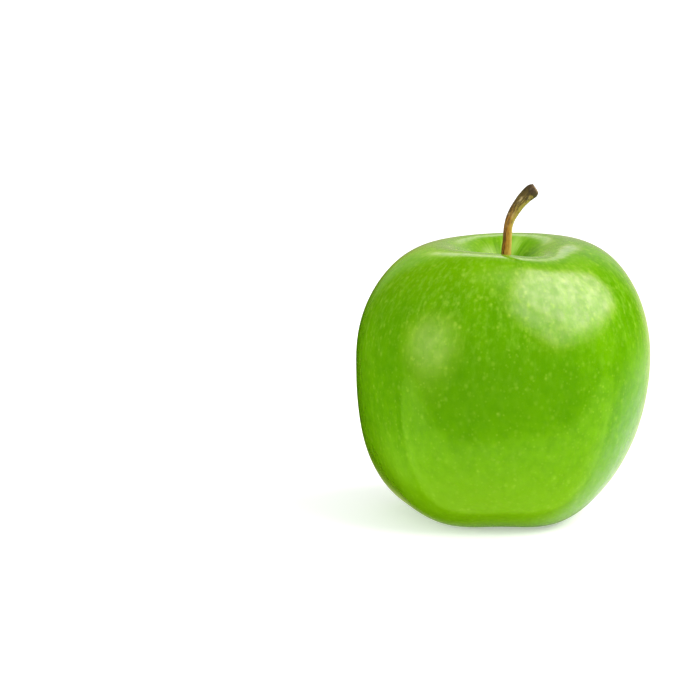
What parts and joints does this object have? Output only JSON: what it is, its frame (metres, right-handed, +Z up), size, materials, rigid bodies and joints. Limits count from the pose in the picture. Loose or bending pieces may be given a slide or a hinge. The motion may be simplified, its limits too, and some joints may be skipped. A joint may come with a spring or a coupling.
{
  "type": "whole green apple",
  "caption": "Whole green apple standing on its lobed base, with a curved woody stem in a funnel-shaped cavity and a dried calyx in the basin underneath.",
  "frame": {"origin": "on the surface that the apple stands on, under the middle of the fruit's plan outline", "axes": "+Z up along the core, from the calyx to the stem; +X towards the side that the stem bends over; -Y towards the side where the shoulder dips in front of the stem"},
  "size_m": [0.076, 0.076, 0.0854],
  "materials": {
    "skin": "waxy green skin, glossy, with pale freckles",
    "stem_wood": "woody stem, dull, brown with ochre and olive streaks",
    "calyx_dry": "dried brown sepals, matt and papery"
  },
  "bodies": {
    "root": {"fruit": "skin", "stem": "stem_wood", "calyx": "calyx_dry"}
  },
  "joints": []
}
